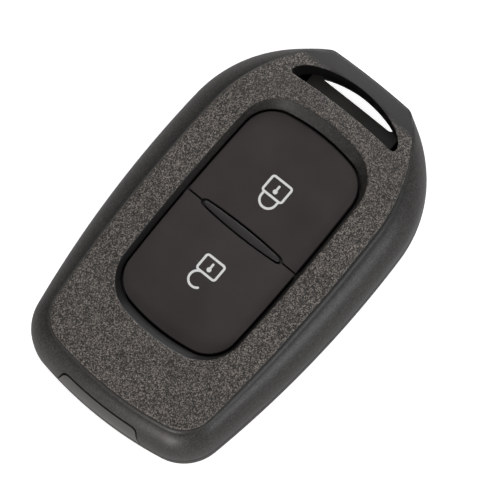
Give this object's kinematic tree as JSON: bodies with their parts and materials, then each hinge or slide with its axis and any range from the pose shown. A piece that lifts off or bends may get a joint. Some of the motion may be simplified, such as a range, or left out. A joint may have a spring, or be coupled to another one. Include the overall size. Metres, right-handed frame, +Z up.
{
  "type": "key fob shell",
  "caption": "Car remote key fob in a snap-together shell: recessed lock and unlock keys, crescent key-ring slot, plugged blade opening, board and coin cell inside.",
  "frame": {"origin": "centre of the bounding box at the resting face of the rear shell", "axes": "+Z up out of the keys, +Y towards the key-ring slot, +X to the right seen from the front"},
  "size_m": [0.0462, 0.075, 0.015],
  "materials": {
    "shell_plastic": "fine grained plateau, satin bevels",
    "plug_plastic": "satin",
    "frame_plastic": "matte",
    "key_plastic": "soft matte with pale printed lock signs",
    "board_laminate": "solder mask over laminate",
    "cell_steel": "bare steel",
    "contact_metal": "tinned spring steel",
    "switch_plastic": "matte",
    "plunger_plastic": "matte",
    "chip_resin": "matte moulded resin",
    "crystal_can": "nickel",
    "ferrite": "sintered ferrite",
    "copper_winding": "enamelled copper wire",
    "antenna_copper": "gilt copper track",
    "capacitor_ceramic": "ceramic",
    "resistor_ceramic": "ceramic"
  },
  "bodies": {
    "fob": {"front_shell": "shell_plastic", "rear_shell": "shell_plastic", "key_frame": "frame_plastic", "blade_slot_plug": "plug_plastic", "circuit_board": "board_laminate", "coin_cell": "cell_steel", "battery_positive_clip": "contact_metal", "battery_negative_contact": "contact_metal", "lock_switch_housing": "switch_plastic", "lock_switch_cover": "contact_metal", "unlock_switch_housing": "switch_plastic", "unlock_switch_cover": "contact_metal", "microcontroller": "chip_resin", "rf_transmitter": "chip_resin", "crystal": "crystal_can", "lf_coil_core": "ferrite", "lf_coil_winding": "copper_winding", "loop_antenna": "antenna_copper", "chip_capacitors": "capacitor_ceramic", "chip_resistors": "resistor_ceramic"},
    "lock_key": {"lock_button": "key_plastic"},
    "unlock_key": {"unlock_button": "key_plastic"},
    "lock_plunger": {"lock_switch_plunger": "plunger_plastic"},
    "unlock_plunger": {"unlock_switch_plunger": "plunger_plastic"}
  },
  "joints": [
    {"name": "lock_press", "type": "slide", "parent": "fob", "child": "lock_key", "axis": [0, 0, -1], "range_m": [0, 0.0004], "stiffness_N_per_m": 1500},
    {"name": "unlock_press", "type": "slide", "parent": "fob", "child": "unlock_key", "axis": [0, 0, -1], "range_m": [0, 0.0004], "stiffness_N_per_m": 1500},
    {"name": "lock_switch_press", "type": "slide", "parent": "fob", "child": "lock_plunger", "axis": [0, 0, -1], "range_m": [0, 0.0004]},
    {"name": "unlock_switch_press", "type": "slide", "parent": "fob", "child": "unlock_plunger", "axis": [0, 0, -1], "range_m": [0, 0.0004]}
  ],
  "couplings": [
    {"joint": "lock_switch_press", "follows": "lock_press", "ratio": 1},
    {"joint": "unlock_switch_press", "follows": "unlock_press", "ratio": 1}
  ]
}
